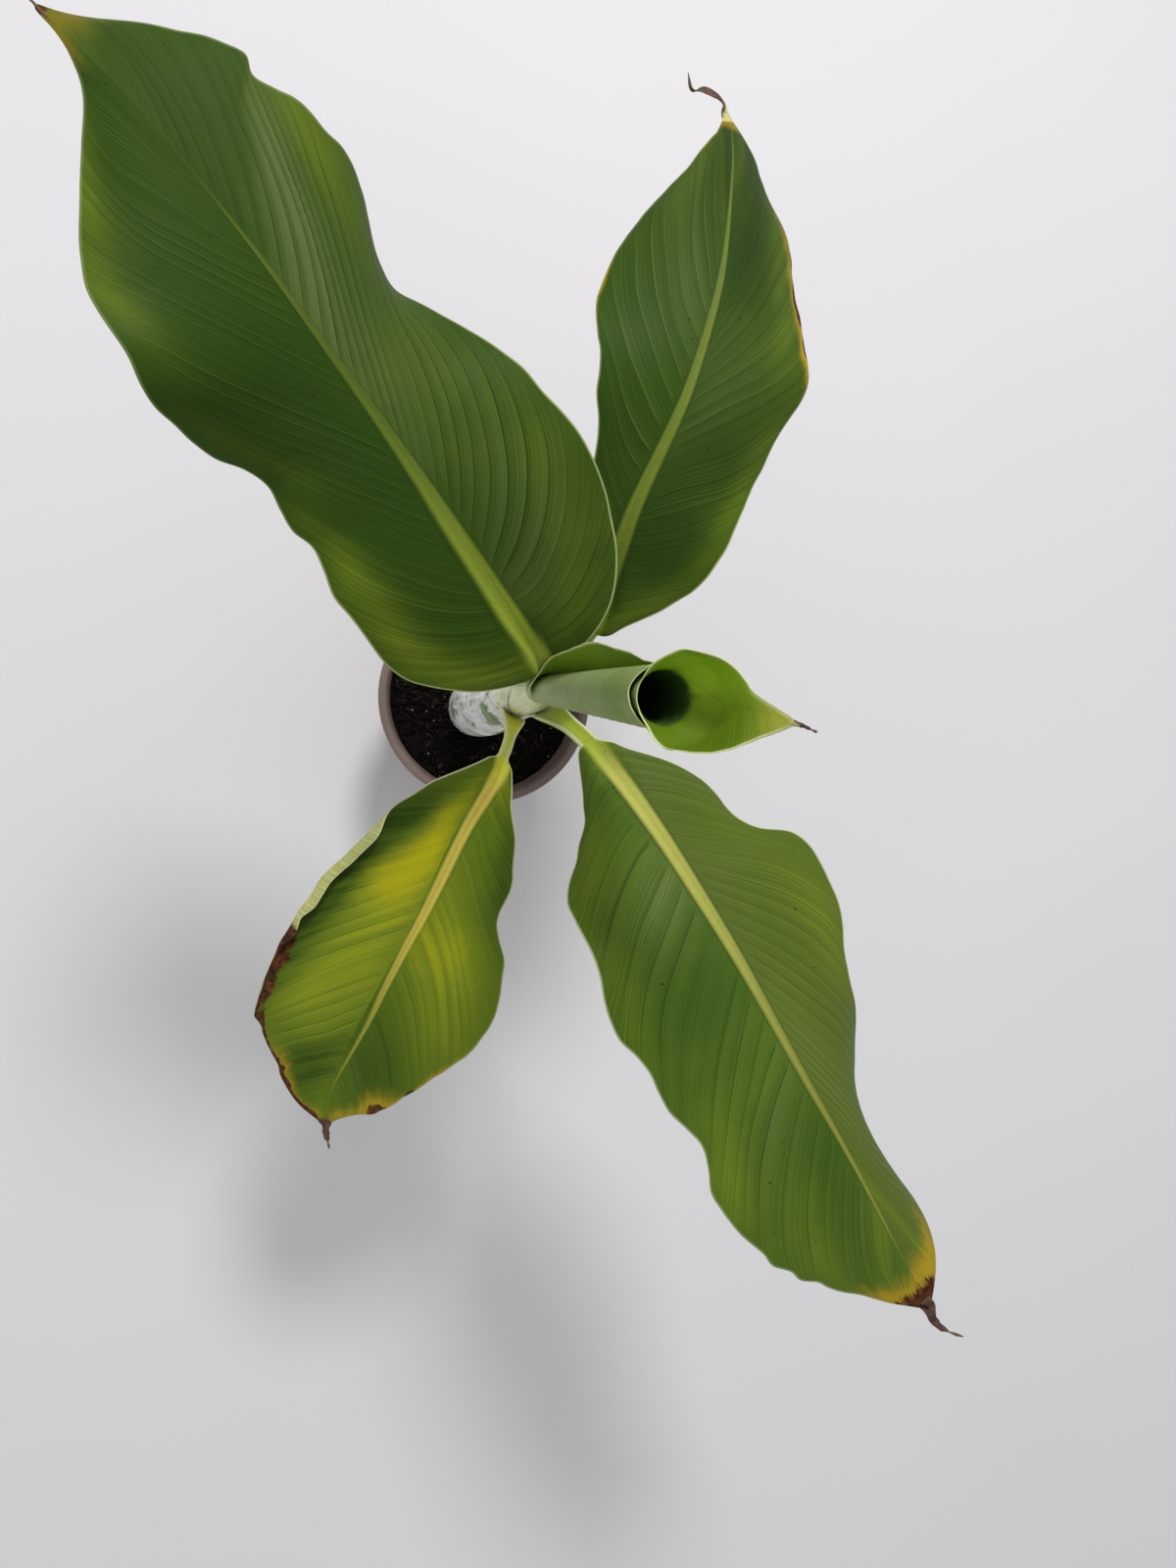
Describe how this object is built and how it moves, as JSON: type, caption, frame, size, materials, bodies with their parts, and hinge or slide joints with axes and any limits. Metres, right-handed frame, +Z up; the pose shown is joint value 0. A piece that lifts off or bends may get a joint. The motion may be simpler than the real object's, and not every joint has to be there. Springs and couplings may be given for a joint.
{
  "type": "potted young banana plant",
  "caption": "Young snow banana in a round nursery pot: a waxy pseudostem with broad spreading leaves on short channelled petioles and a new leaf still rolled into a trumpet.",
  "frame": {"origin": "centre of the pot's flat underside", "axes": "+Z up along the pot's axis, +X towards the side that the rolled leaf's tip points to, +Y towards the side with the largest leaf and the one with the bent tip"},
  "size_m": [0.4969, 0.6943, 0.6473],
  "materials": {
    "pot": "satin taupe moulded plastic",
    "potting_mix": "moist dark peat and bark",
    "pseudostem": "pale waxy bloom over green",
    "petiole": "smooth yellow-green",
    "leaf": "satin green with fine pleats",
    "old_leaf": "satin yellow-green with brown dry edges",
    "new_leaf": "satin fresh green, pale bloom outside"
  },
  "bodies": {
    "root": {"pot": "pot", "potting_mix": "potting_mix", "pseudostem": "pseudostem", "petiole_1": "petiole", "petiole_2": "petiole", "petiole_3": "petiole", "petiole_4": "petiole", "leaf_1": "leaf", "leaf_2": "leaf", "leaf_3": "leaf", "leaf_4": "old_leaf", "new_leaf": "new_leaf"}
  },
  "joints": []
}
